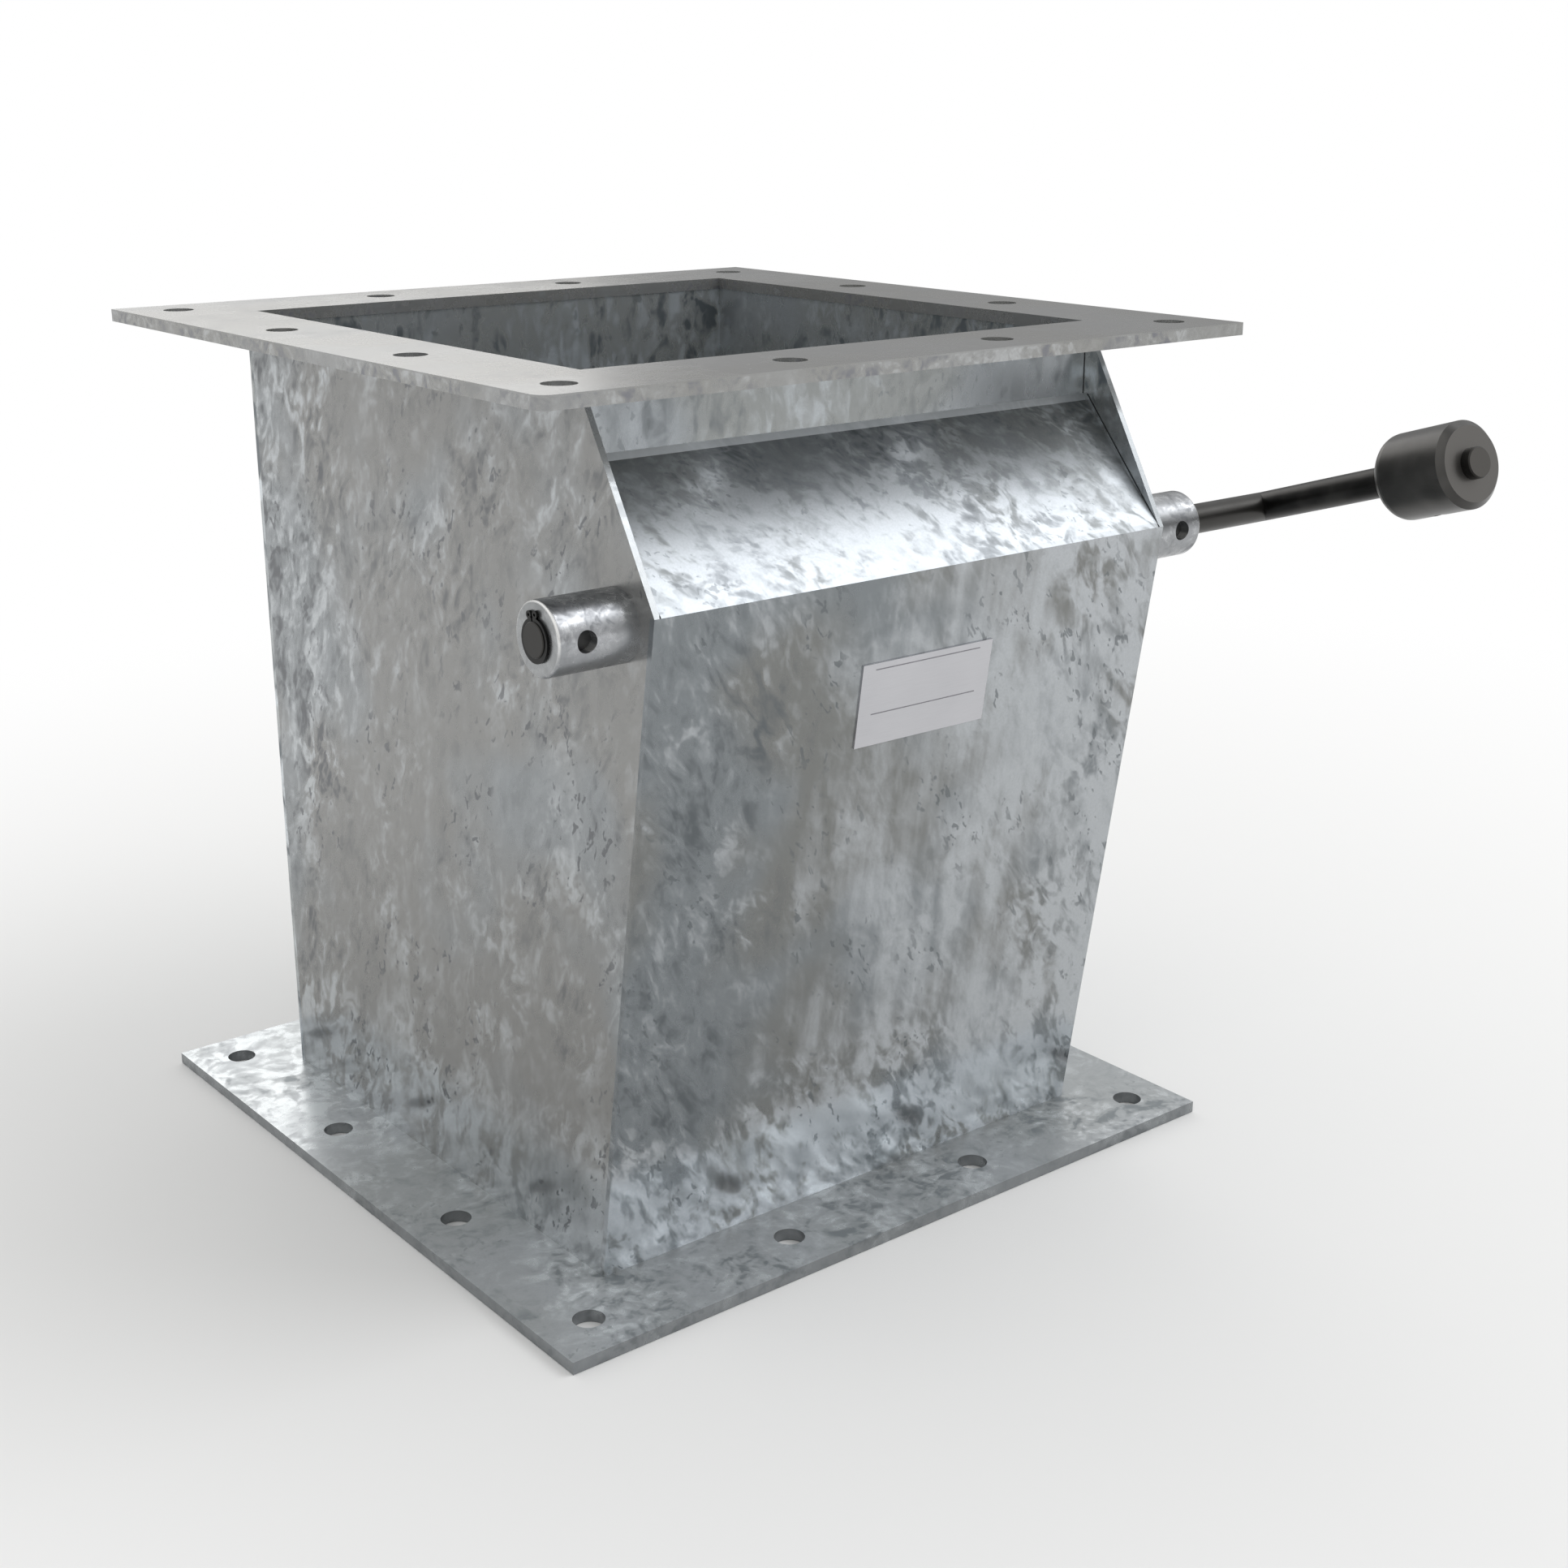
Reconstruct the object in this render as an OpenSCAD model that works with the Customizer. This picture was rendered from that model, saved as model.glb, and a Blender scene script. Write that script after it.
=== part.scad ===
// Ducting dump valve: a welded, galvanised duct section whose inclined flap is held
// shut by a counterweight on an outside lever. Millimetres, +Z up.
// Origin: centre of the bottom flange's underside. The shaft pocket faces -Y.

/* [Flanges] */
// Width and depth of each square flange
flange_w = 400; // [390:1:420]
// Thickness of a flange plate
flange_t = 6; // [4:0.5:10]
// How far a flange opening stands inside the inner faces of the box
flange_step = 1; // [0:0.5:3]
// Distance of the outer bolt holes from the edges of the flange
bolt_edge = 25; // [18:0.5:30]
// Distance between the two middle bolt holes of a side
bolt_middle = 120; // [90:1:150]
// Diameter of a flange bolt hole
bolt_d = 15; // [11:0.5:18]
// Radius of the top flange's front left corner
corner_r = 7; // [2:0.5:12]

/* [Duct box] */
// Outside width and depth of the duct box
body_w = 300; // [298:1:304]
// Height over both flanges
body_h = 420; // [416:1:440]
// Thickness of the box's sheet
sheet_t = 3; // [2.5:0.25:3.5]
// Distance from the top down to the fold where the hood leaves the inlet wall
hood_drop = 36; // [31:1:42]

/* [Shaft pocket] */
// How far the pocket's corner stands out of the duct's front face
pocket_out = 50.5; // [48:0.5:56]
// Distance from the top down to the pocket's corner, where hood and front plate meet
pocket_drop = 93; // [88:1:95]
// Depth of the narrow facet along the hood's folds
fold_facet = 1.5; // [1:0.1:2]

/* [Pivot] */
// Diameter of the shaft and of the lever rod
shaft_d = 15; // [14:0.5:16]
// Distance of the shaft's axis in front of the duct's front face
shaft_out = 24.5; // [23:0.5:26]
// How far the shaft's axis lies below the pocket's corner
shaft_drop = 7; // [5:0.5:10]
// Outside diameter of a bearing boss
boss_d = 32; // [30:0.5:34]
// How far a boss stands out of its side plate
boss_reach = 39; // [34:0.5:50]
// Thickness of a boss's outer end wall
boss_end_t = 3; // [2:0.5:4]
// Edge radius at a boss's outer end
boss_round = 1.4; // [0.5:0.1:1.8]
// Diameter of the vent hole through a boss's front
vent_d = 9.5; // [6:0.5:11]
// Distance of the vent hole from the boss's end
vent_from_end = 13.5; // [12:0.5:16]
// Outside diameter of a bearing bush and of the seal behind it
bush_d = 22; // [20:0.5:24]
// Diameter of a bush's inner flange
bush_flange_d = 28; // [26:0.5:30]
// Thickness of a bush's inner flange
bush_flange_t = 2; // [1.5:0.25:3]
// Length of the felt seal at a boss's outer end
seal_len = 4; // [3:0.5:6]
// Outside diameter of the retaining ring
ring_d = 18.8; // [18.5:0.1:19.5]
// Thickness of the retaining ring
ring_t = 1; // [0.8:0.1:1.2]
// Depth of the retaining ring's groove
groove_depth = 0.35; // [0.25:0.05:0.5]
// Width of the shaft left outside the retaining ring's groove
end_land = 0.6; // [0.5:0.1:3]
// Chamfer at the shaft's left end
shaft_chamfer = 0.4; // [0.2:0.1:0.45]
// Radius of an ear of the retaining ring
ring_ear_r = 1.7; // [1.5:0.1:1.9]
// How far the middle of an ear stands out of the retaining ring
ring_ear_out = 1; // [0.8:0.1:1.2]
// Diameter of the eye in an ear
ring_eye_d = 1.3; // [1:0.1:1.5]
// Width of the retaining ring's gap
ring_gap_w = 1; // [0.6:0.1:1.4]
// Angle by which the retaining ring's gap is turned from the top towards the back
ring_turn = 8; // [-90:1:90]

/* [Lever and counterweight] */
// Distance from the right boss's end face to the elbow
elbow_reach = 67; // [60:1:90]
// Angle by which the lever rises towards the front
lever_rise = 17.5; // [14:0.5:20]
// Angle by which the lever leans in towards the box
lever_lean = 6; // [0:0.5:8]
// Length of the lever from the elbow to the counterweight
lever_len = 94.5; // [80:0.5:130]
// Diameter of the counterweight
weight_d = 42; // [38:0.5:60]
// Length of the counterweight
weight_len = 44; // [36:0.5:70]
// Chamfer at the counterweight's outer end
weight_chamfer = 3; // [1:0.5:4]
// Edge radius at the counterweight's inner end
weight_round = 6; // [2:0.5:8]
// Length of the lever rod that shows beyond the counterweight
stub_len = 5; // [3:0.5:12]
// Chamfer at the end of the lever rod
stub_chamfer = 0.6; // [0.3:0.1:1]
// Diameter of the counterweight's set screw
set_screw_d = 8; // [6:0.5:8]

/* [Flap] */
// Slope of the closed flap, down towards the back
flap_slope = 17.5; // [15:0.5:20]
// Largest opening of the flap
flap_travel = 45; // [30:1:46]
// Thickness of the flap's blade
blade_t = 1; // [0.8:0.1:1.5]
// Gap between the closed blade's edges and the box
blade_gap = 8; // [6:0.5:10]
// Depth of the blade's folded stiffening edges
edge_fold = 10; // [8:0.5:12]
// Distance from the shaft's axis to the blade's near edge
blade_start = 16.5; // [16:0.5:18]
// Outside diameter of a flap hub
hub_d = 28; // [26:0.5:30]
// Length of a hub along the shaft
hub_len = 60; // [54:1:66]
// Thickness of a hub's tongue
tongue_t = 5; // [4:0.5:6]
// Distance from the seat bars to the tongues and to the washers of their screws
screw_gap = 3; // [2:0.5:6]
// Distance between the two screws of a hub
screw_pitch = 20; // [14:0.5:23]
// Edge distance from the washers to the tongue's end
tongue_margin = 4; // [2:0.5:8]
// Diameter of the spring pin through hub and shaft
pin_d = 5; // [4:0.5:6]
// Wall thickness of the spring pin
pin_wall = 1; // [0.8:0.1:1.2]
// How far the ends of a spring pin lie inside the hub
pin_recess = 0.5; // [0.2:0.1:1]
// Diameter of the screws that hold the blade
screw_d = 5; // [4:0.5:6]
// Across-flats size of screw heads and nuts
hex_af = 8; // [7:0.5:10]
// Height of a screw head
head_h = 3.5; // [3:0.25:4]
// Height of a nut
nut_h = 4; // [3:0.25:5]
// Diameter of a washer
washer_d = 10; // [9:0.5:12]
// Thickness of a washer
washer_t = 1; // [0.8:0.1:1.2]
// Length of a screw's end beyond its nut
screw_end = 1; // [0.5:0.25:3]

/* [Seat and stops] */
// Width of the seat bars on the sides and the back
seat_w = 24; // [20:1:28]
// Thickness of the seat bars
seat_t = 4; // [3:0.5:6]
// Width of the front seat bar
front_seat_w = 30; // [24:1:32]
// Distance of the front seat bar in front of the inlet wall
front_seat_out = 7; // [5:0.5:9]
// Thickness of the rubber gasket
gasket_t = 3; // [2:0.5:4]
// Diameter of a stop lug
stop_d = 12; // [10:0.5:14]
// Length of a stop lug
stop_len = 14; // [12:0.5:18]
// Distance along the open blade from the shaft's axis to a stop lug
stop_reach = 110; // [100:1:120]

/* [Name plate] */
// Width of the blank name plate
label_w = 78; // [60:1:90]
// Height of the blank name plate
label_h = 40; // [30:1:50]
// Thickness of the blank name plate
label_t = 0.8; // [0.5:0.1:1.2]
// Sideways place of the name plate's centre
label_x = 4.5; // [-20:0.5:20]
// Distance of the name plate's upper edge below the pocket's corner
label_drop = 40; // [30:1:80]

/* [Fits] */
// Radial clearance of a turning fit
run_fit = 0.05; // [0.02:0.01:0.1]
// Radial clearance of a fixed fit
slip_fit = 0.02; // [0.01:0.01:0.05]
// Radial clearance of the shaft in a boss's end wall
end_wall_fit = 0.4; // [0.3:0.05:0.6]
// End float between turning and fixed faces
end_float = 0.3; // [0.2:0.05:0.5]
// Gap between moving faces that rest on each other
rest_gap = 0.3; // [0.2:0.05:0.5]

/* [Hidden] */

zinc = "#9c9fa0";
zinc_dark = "#7f8486";
black_steel = "#3b3a38";
pale_metal = "#b9babb";
black_rubber = "#1d1d1d";
fn_round = 96;
fn_small = 48;
round_steps = 6;
cut = 1;

half = body_w / 2;
inner = half - sheet_t;
body_z0 = flange_t;
body_z1 = body_h - flange_t;
flange_open = 2 * (inner - flange_step);
bolt_corner = flange_w - 2 * bolt_edge;
hood_top_z = body_h - hood_drop;
pocket_z = body_h - pocket_drop;
shaft_z = pocket_z - shaft_drop;
wall_y = -inner;

// Corners of the pocket in the YZ plane
knee_y = -half - pocket_out;
front_angle = atan2(pocket_out, pocket_z - body_z0);
front_step = sheet_t / cos(front_angle);
hood_facet_h = 1.4 * fold_facet;
hood_run = wall_y - knee_y - fold_facet;
hood_fall = hood_top_z - pocket_z - hood_facet_h;
hood_angle = atan2(hood_fall, hood_run);

shaft_y = -half - shaft_out;
boss_x = half + boss_reach;
ring_x = boss_x + end_float;
shaft_x0 = -(ring_x + ring_t + run_fit + end_land);
elbow_x = boss_x + elbow_reach;
lever_dir = [-sin(lever_lean), -cos(lever_rise) * cos(lever_lean), sin(lever_rise) * cos(lever_lean)];
mitre = ([1, 0, 0] + lever_dir) / norm([1, 0, 0] + lever_dir);
lever_end = lever_len + weight_len + stub_len;

// Blade and seat, measured along and square to the closed blade
blade_half = inner - blade_gap;
blade_tip = (inner - blade_gap - shaft_y - blade_t * sin(flap_slope)) / cos(flap_slope);
hub_x1 = inner - bush_flange_t - end_float;
hub_x0 = hub_x1 - hub_len;
tongue_x1 = inner - seat_w - screw_gap;
screw_x = (hub_x0 + tongue_x1) / 2;
gasket_w0 = blade_t + rest_gap;
seat_w0 = gasket_w0 + gasket_t;
seat_w1 = seat_w0 + seat_t;
front_seat_y0 = wall_y - front_seat_out;
front_seat_y1 = front_seat_y0 + front_seat_w;
back_seat_y0 = inner - seat_w;
screw_at = (front_seat_y1 + screw_gap - shaft_y) / cos(flap_slope) + washer_d / 2;
tongue_reach = screw_at + washer_d / 2 + tongue_margin;
fold_start = tongue_reach + washer_d / 2;
stop_slope = flap_slope + flap_travel;
stop_w = -(edge_fold + stop_d / 2 + rest_gap);

// Height of a plane parallel to the closed blade, w above the shaft's axis, at depth y
function slant_z(y, w) = shaft_z - (y - shaft_y) * tan(flap_slope) + w / cos(flap_slope);

// Extrudes a YZ outline along X
module along_x(x0, x1) {
  translate([x0, 0, 0]) rotate([90, 0, 90]) linear_extrude(x1 - x0) children();
}

// A bar parallel to the closed blade, with upright ends
module slant_bar(x0, x1, y0, y1, w0, w1) {
  along_x(x0, x1)
    polygon([[y0, slant_z(y0, w0)], [y1, slant_z(y1, w0)], [y1, slant_z(y1, w1)], [y0, slant_z(y0, w1)]]);
}

// Round bar along X
module x_rod(x0, x1, d, fn = fn_round) {
  translate([x0, 0, 0]) rotate([0, 90, 0]) cylinder(d = d, h = x1 - x0, $fn = fn);
}

module at_shaft() {
  translate([0, shaft_y, shaft_z]) children();
}

// The blade's own frame: Y along the blade from the shaft, Z square to it
module in_flap(slope = flap_slope) {
  at_shaft() rotate([-slope, 0, 0]) children();
}

// The lever's own frame: Z along the lever from the elbow
module in_lever() {
  at_shaft() translate([elbow_x, 0, 0]) rotate([90 - lever_rise, 0, 0]) rotate([0, -lever_lean, 0]) children();
}

// The front plate's own frame: Z up along the plate from the pocket's corner, -Y outwards
module on_front() {
  translate([0, knee_y, pocket_z]) rotate([front_angle, 0, 0]) children();
}

// Flanges
module flange() {
  difference() {
    translate([-flange_w / 2, -flange_w / 2, 0]) cube([flange_w, flange_w, flange_t]);
    translate([-flange_open / 2, -flange_open / 2, -cut]) cube([flange_open, flange_open, flange_t + 2 * cut]);
    for (sx = [-1, 1], sy = [-1, 1])
      for (at = [[bolt_corner, bolt_corner], [bolt_middle, bolt_corner], [bolt_corner, bolt_middle]])
        translate([sx * at.x / 2, sy * at.y / 2, -cut]) cylinder(d = bolt_d, h = flange_t + 2 * cut, $fn = fn_small);
  }
}

// One corner of the top flange is rounded
module top_flange() {
  corner = flange_w / 2 - corner_r;
  color(zinc) translate([0, 0, body_z1]) difference() {
    flange();
    difference() {
      translate([-corner - 2 * corner_r, -corner - 2 * corner_r, -cut])
        cube([2 * corner_r, 2 * corner_r, flange_t + 2 * cut]);
      translate([-corner, -corner, -2 * cut]) cylinder(r = corner_r, h = flange_t + 4 * cut, $fn = fn_small);
    }
  }
}

module bottom_flange() {
  color(zinc) flange();
}

// Box plates
module side_plate() {
  difference() {
    along_x(inner, half)
      polygon([[inner, body_z0], [inner, body_z1], [-half, body_z1], [knee_y, pocket_z],
               [knee_y + front_step, pocket_z], [-half + front_step, body_z0]]);
    at_shaft() x_rod(inner - cut, half + cut, boss_d + 2 * slip_fit);
  }
}

module left_side_plate() {
  color(zinc) mirror([1, 0, 0]) side_plate();
}

module right_side_plate() {
  color(zinc) side_plate();
}

module back_plate() {
  color(zinc) translate([-half, inner, body_z0]) cube([body_w, sheet_t, body_z1 - body_z0]);
}

module front_plate() {
  color(zinc) along_x(-half, half)
    polygon([[knee_y, pocket_z], [-half, body_z0], [-half + front_step, body_z0],
             [knee_y + front_step, pocket_z]]);
}

// The hood has a narrow facet where it is folded at its top and bottom edges
module hood_plate() {
  hood_up = sheet_t / cos(hood_angle);
  hood_in = sheet_t / sin(hood_angle);
  color(zinc_dark) along_x(-inner, inner)
    polygon([[wall_y, hood_top_z + hood_facet_h / 2],
             [wall_y - fold_facet, hood_top_z - hood_facet_h],
             [knee_y + fold_facet, pocket_z + hood_facet_h],
             [knee_y, pocket_z],
             [knee_y + fold_facet + hood_in - hood_facet_h / tan(hood_angle), pocket_z],
             [wall_y, hood_top_z - hood_up]]);
}

module inlet_front_wall() {
  color(zinc) along_x(-inner, inner)
    polygon([[wall_y, slant_z(wall_y, seat_w1)], [wall_y, body_z1], [wall_y + sheet_t, body_z1],
             [wall_y + sheet_t, slant_z(wall_y + sheet_t, seat_w1)]]);
}

// Bearings
module boss() {
  rim = [for (i = [0 : round_steps]) [boss_d / 2 - boss_round * (1 - cos(90 * i / round_steps)),
                                      boss_x - inner - boss_round * (1 - sin(90 * i / round_steps))]];
  at_shaft() difference() {
    translate([inner, 0, 0]) rotate([0, 90, 0]) rotate_extrude($fn = fn_round)
      polygon(concat([[0, 0], [boss_d / 2, 0]], rim, [[0, boss_x - inner]]));
    x_rod(inner - cut, boss_x - boss_end_t, bush_d + 2 * slip_fit);
    x_rod(inner, boss_x + cut, shaft_d + 2 * end_wall_fit);
    translate([boss_x - vent_from_end, 0, 0]) rotate([90, 0, 0]) cylinder(d = vent_d, h = boss_d, $fn = fn_small);
  }
}

module bush() {
  at_shaft() difference() {
    union() {
      x_rod(inner - bush_flange_t, inner, bush_flange_d);
      x_rod(inner - cut, boss_x - boss_end_t - seal_len, bush_d);
    }
    x_rod(inner - bush_flange_t - cut, boss_x, shaft_d + 2 * run_fit);
  }
}

module shaft_seal() {
  at_shaft() difference() {
    x_rod(boss_x - boss_end_t - seal_len, boss_x - boss_end_t, bush_d);
    x_rod(inner, boss_x, shaft_d + 2 * run_fit);
  }
}

module left_boss() {
  color(zinc) mirror([1, 0, 0]) boss();
}

module right_boss() {
  color(zinc) boss();
}

module left_bush() {
  color(black_rubber) mirror([1, 0, 0]) bush();
}

module right_bush() {
  color(black_rubber) bush();
}

module left_shaft_seal() {
  color(black_rubber) mirror([1, 0, 0]) shaft_seal();
}

module right_shaft_seal() {
  color(black_rubber) shaft_seal();
}

// Seat
module seat_front_bar() {
  color(zinc) slant_bar(-inner, inner, front_seat_y0, front_seat_y1, seat_w0, seat_w1);
}

module seat_back_bar() {
  color(zinc) slant_bar(-inner, inner, back_seat_y0, inner, seat_w0, seat_w1);
}

module seat_side_bar() {
  slant_bar(inner - seat_w, inner, front_seat_y1, back_seat_y0, seat_w0, seat_w1);
}

module seat_left_bar() {
  color(zinc) mirror([1, 0, 0]) seat_side_bar();
}

module seat_right_bar() {
  color(zinc) seat_side_bar();
}

// Four strips of rubber, butted at the corners and bonded under the seat bars
module seat_gasket() {
  color(black_rubber) {
    slant_bar(-inner, inner, front_seat_y0, front_seat_y1, gasket_w0, seat_w0);
    slant_bar(-inner, inner, back_seat_y0, inner, gasket_w0, seat_w0);
    for (side = [0, 1]) mirror([side, 0, 0])
      slant_bar(inner - seat_w, inner, front_seat_y1 + rest_gap, back_seat_y0 - rest_gap, gasket_w0, seat_w0);
  }
}

// The fully open blade's folded edges rest on these
module stop_lugs() {
  color(zinc) for (side = [0, 1]) mirror([side, 0, 0])
    in_flap(stop_slope) translate([0, stop_reach, stop_w]) x_rod(inner - stop_len, inner, stop_d, fn_small);
}

module name_plate() {
  color(pale_metal) on_front()
    translate([label_x - label_w / 2, -label_t, -label_drop - label_h]) cube([label_w, label_t, label_h]);
}

// Shaft and lever
module mitre_block(side) {
  at_shaft() translate([elbow_x, 0, 0]) rotate([0, acos(mitre.z), atan2(mitre.y, mitre.x)])
    translate([-2 * shaft_d, -2 * shaft_d, side > 0 ? 0 : -4 * shaft_d]) cube(4 * shaft_d);
}

module pivot_shaft() {
  groove_x = -(ring_x + ring_t + run_fit);
  color(black_steel) difference() {
    at_shaft() difference() {
      union() {
        x_rod(shaft_x0 + shaft_chamfer, elbow_x + shaft_d, shaft_d);
        translate([shaft_x0, 0, 0]) rotate([0, 90, 0])
          cylinder(d1 = shaft_d - 2 * shaft_chamfer, d2 = shaft_d, h = shaft_chamfer, $fn = fn_round);
      }
      translate([groove_x, 0, 0]) rotate([0, 90, 0]) difference() {
        cylinder(d = shaft_d + cut, h = ring_t + 2 * run_fit, $fn = fn_round);
        translate([0, 0, -cut]) cylinder(d = shaft_d - 2 * groove_depth, h = ring_t + 2 * cut, $fn = fn_round);
      }
      for (side = [-1, 1]) translate([side * (hub_x0 + hub_len / 2), 0, 0]) rotate([-flap_slope, 0, 0])
        cylinder(d = pin_d + 2 * slip_fit, h = 2 * shaft_d, center = true, $fn = fn_small);
    }
    mitre_block(1);
  }
}

// Open ring with two drilled ears, thickest opposite its gap
module retaining_ring() {
  ear_at = ring_d / 2 + ring_ear_out;
  ear_angle = asin((ring_gap_w / 2 + ring_ear_r) / ear_at);
  color(black_steel) at_shaft() translate([-ring_x - ring_t, 0, 0]) rotate([90, 0, 90]) linear_extrude(ring_t)
    rotate(-ring_turn) difference() {
      union() {
        translate([0, -groove_depth]) circle(d = ring_d, $fn = fn_round);
        for (side = [-1, 1]) rotate(side * ear_angle) translate([0, ear_at]) circle(r = ring_ear_r, $fn = fn_small);
      }
      circle(d = shaft_d - 2 * groove_depth + 2 * slip_fit, $fn = fn_round);
      for (side = [-1, 1]) rotate(side * ear_angle) translate([0, ear_at]) circle(d = ring_eye_d, $fn = fn_small);
      translate([-ring_gap_w / 2, 0]) square([ring_gap_w, ring_d]);
    }
}

module lever_rod() {
  color(black_steel) difference() {
    in_lever() union() {
      translate([0, 0, -2 * shaft_d]) cylinder(d = shaft_d, h = 2 * shaft_d + lever_end - stub_chamfer, $fn = fn_round);
      translate([0, 0, lever_end - stub_chamfer])
        cylinder(d1 = shaft_d, d2 = shaft_d - 2 * stub_chamfer, h = stub_chamfer, $fn = fn_round);
    }
    mitre_block(-1);
  }
}

module counterweight() {
  r = weight_d / 2;
  bore = shaft_d / 2 + slip_fit;
  inner_edge = [for (i = [0 : round_steps]) [r - weight_round * (1 - sin(90 * i / round_steps)),
                                       weight_round * (1 - cos(90 * i / round_steps))]];
  color(black_steel) in_lever() translate([0, 0, lever_len]) difference() {
    rotate_extrude($fn = fn_round)
      polygon(concat([[bore, 0]], inner_edge, [[r, weight_len - weight_chamfer],
                                               [r - weight_chamfer, weight_len], [bore, weight_len]]));
    translate([0, 0, weight_len / 2]) rotate([90, 0, 0])
      cylinder(d = set_screw_d + 2 * slip_fit, h = weight_d, $fn = fn_small);
  }
}

module counterweight_screw() {
  sunk = 1.5;
  socket_af = 4;
  color(black_steel) in_lever() translate([0, 0, lever_len + weight_len / 2]) rotate([90, 0, 0]) difference() {
    translate([0, 0, shaft_d / 2]) cylinder(d = set_screw_d, h = weight_d / 2 - sunk - shaft_d / 2, $fn = fn_small);
    translate([0, 0, weight_d / 2 - sunk - socket_af])
      cylinder(d = socket_af / cos(30), h = socket_af + cut, $fn = 6);
  }
}

// Flap
module at_screws() {
  for (side = [-1, 1], step = [-0.5, 0.5])
    translate([side * screw_x + step * screw_pitch, screw_at, 0]) children();
}

module flap_blade() {
  color(pale_metal) in_flap() difference() {
    union() {
      translate([-blade_half, blade_start, 0]) cube([2 * blade_half, blade_tip - blade_start, blade_t]);
      for (x = [-blade_half, blade_half - blade_t])
        translate([x, fold_start, -edge_fold]) cube([blade_t, blade_tip - fold_start, edge_fold]);
      translate([-blade_half, blade_tip - blade_t, -edge_fold]) cube([2 * blade_half, blade_t, edge_fold]);
    }
    at_screws() translate([0, 0, -cut]) cylinder(d = screw_d + 2 * run_fit, h = blade_t + 2 * cut, $fn = fn_small);
  }
}

// A turned ring with a flat tongue that carries the blade
module flap_hub() {
  in_flap() difference() {
    union() {
      x_rod(hub_x0, hub_x1, hub_d);
      translate([hub_x0, 0, -tongue_t]) cube([tongue_x1 - hub_x0, tongue_reach, tongue_t]);
    }
    x_rod(hub_x0 - cut, hub_x1 + cut, shaft_d + 2 * slip_fit);
    translate([hub_x0 + hub_len / 2, 0, 0])
      cylinder(d = pin_d + 2 * slip_fit, h = 2 * hub_d, center = true, $fn = fn_small);
    at_screws() translate([0, 0, -tongue_t - cut])
      cylinder(d = screw_d + 2 * run_fit, h = tongue_t + 2 * cut, $fn = fn_small);
  }
}

module left_flap_hub() {
  color(zinc) mirror([1, 0, 0]) flap_hub();
}

module right_flap_hub() {
  color(zinc) flap_hub();
}

module hub_pins() {
  color(black_steel) in_flap() for (side = [-1, 1]) translate([side * (hub_x0 + hub_len / 2), 0, 0]) difference() {
    cylinder(d = pin_d, h = hub_d - 2 * pin_recess, center = true, $fn = fn_small);
    cylinder(d = pin_d - 2 * pin_wall, h = hub_d, center = true, $fn = fn_small);
  }
}

module flap_screws() {
  grip = washer_t + blade_t + tongue_t + washer_t + nut_h + screw_end;
  color(zinc) in_flap() at_screws() {
    translate([0, 0, blade_t + washer_t]) cylinder(d = hex_af / cos(30), h = head_h, $fn = 6);
    translate([0, 0, blade_t + washer_t - grip]) cylinder(d = screw_d, h = grip + cut, $fn = fn_small);
  }
}

module washer() {
  difference() {
    cylinder(d = washer_d, h = washer_t, $fn = fn_small);
    translate([0, 0, -cut]) cylinder(d = screw_d + 2 * run_fit, h = washer_t + 2 * cut, $fn = fn_small);
  }
}

module flap_washers() {
  color(zinc) in_flap() at_screws() {
    translate([0, 0, blade_t]) washer();
    translate([0, 0, -tongue_t - washer_t]) washer();
  }
}

module flap_nuts() {
  color(zinc) in_flap() at_screws() translate([0, 0, -tongue_t - washer_t - nut_h]) difference() {
    cylinder(d = hex_af / cos(30), h = nut_h, $fn = 6);
    translate([0, 0, -cut]) cylinder(d = screw_d + 2 * slip_fit, h = nut_h + 2 * cut, $fn = fn_small);
  }
}

top_flange();
bottom_flange();
left_side_plate();
right_side_plate();
back_plate();
front_plate();
hood_plate();
inlet_front_wall();
left_boss();
right_boss();
left_bush();
right_bush();
left_shaft_seal();
right_shaft_seal();
seat_front_bar();
seat_back_bar();
seat_left_bar();
seat_right_bar();
seat_gasket();
stop_lugs();
name_plate();
pivot_shaft();
retaining_ring();
lever_rod();
counterweight();
counterweight_screw();
flap_blade();
left_flap_hub();
right_flap_hub();
hub_pins();
flap_screws();
flap_washers();
flap_nuts();
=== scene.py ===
import math

import bmesh
import bpy
from mathutils import Matrix, Vector


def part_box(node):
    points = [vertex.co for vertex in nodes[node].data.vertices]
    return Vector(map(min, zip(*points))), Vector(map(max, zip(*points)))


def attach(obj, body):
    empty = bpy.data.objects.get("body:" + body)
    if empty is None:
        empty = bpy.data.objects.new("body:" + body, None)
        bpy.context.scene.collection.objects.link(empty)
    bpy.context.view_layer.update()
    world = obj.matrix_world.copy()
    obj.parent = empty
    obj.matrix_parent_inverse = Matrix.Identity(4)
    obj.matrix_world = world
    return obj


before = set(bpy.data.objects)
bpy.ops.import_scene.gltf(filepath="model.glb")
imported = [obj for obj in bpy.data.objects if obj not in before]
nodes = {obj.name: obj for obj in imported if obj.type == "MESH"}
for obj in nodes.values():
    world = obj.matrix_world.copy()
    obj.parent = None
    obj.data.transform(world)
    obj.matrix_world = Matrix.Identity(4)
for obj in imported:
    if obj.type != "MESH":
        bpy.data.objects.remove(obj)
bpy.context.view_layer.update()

MM = 0.001

# Camera, matched to the corners of both flanges
CAMERA_PLACE = (-0.63902, -0.89117, 0.53469)
CAMERA_TURN = (math.radians(71.88), 0.0, math.radians(-38.795))
LENS_MM = 50.0
SENSOR_MM = 36.0

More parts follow.
